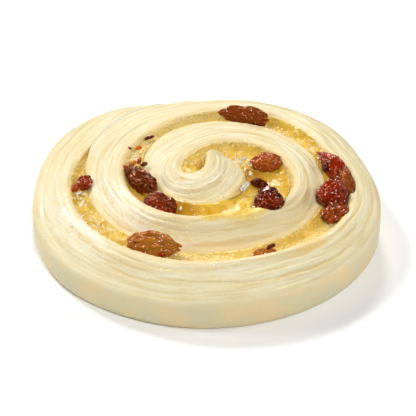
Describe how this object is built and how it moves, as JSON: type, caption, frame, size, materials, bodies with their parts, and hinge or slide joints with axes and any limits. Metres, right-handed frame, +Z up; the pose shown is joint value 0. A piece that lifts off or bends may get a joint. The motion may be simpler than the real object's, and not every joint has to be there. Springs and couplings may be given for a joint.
{
  "type": "pain aux raisins",
  "caption": "Flat coil of laminated pastry dough, ready to bake, with custard filling its seam and raisins wedged along it.",
  "frame": {"origin": "centre of the flat underside, on the surface that the pastry rests on", "axes": "+Z up, square to the cut face; +X to the right and +Y to the back as the picture shows it"},
  "size_m": [0.096, 0.0892, 0.0183],
  "materials": {
    "dough": "soft matt pale cream dough with a faint moist sheen",
    "custard": "moist golden yellow custard",
    "raisin": "glossy wrinkled red-brown skin"
  },
  "bodies": {
    "root": {"dough": "dough", "custard": "custard", "raisin_01": "raisin", "raisin_02": "raisin", "raisin_03": "raisin", "raisin_04": "raisin", "raisin_05": "raisin", "raisin_06": "raisin", "raisin_07": "raisin", "raisin_08": "raisin", "raisin_09": "raisin", "raisin_10": "raisin", "raisin_11": "raisin", "raisin_12": "raisin", "raisin_13": "raisin"}
  },
  "joints": []
}
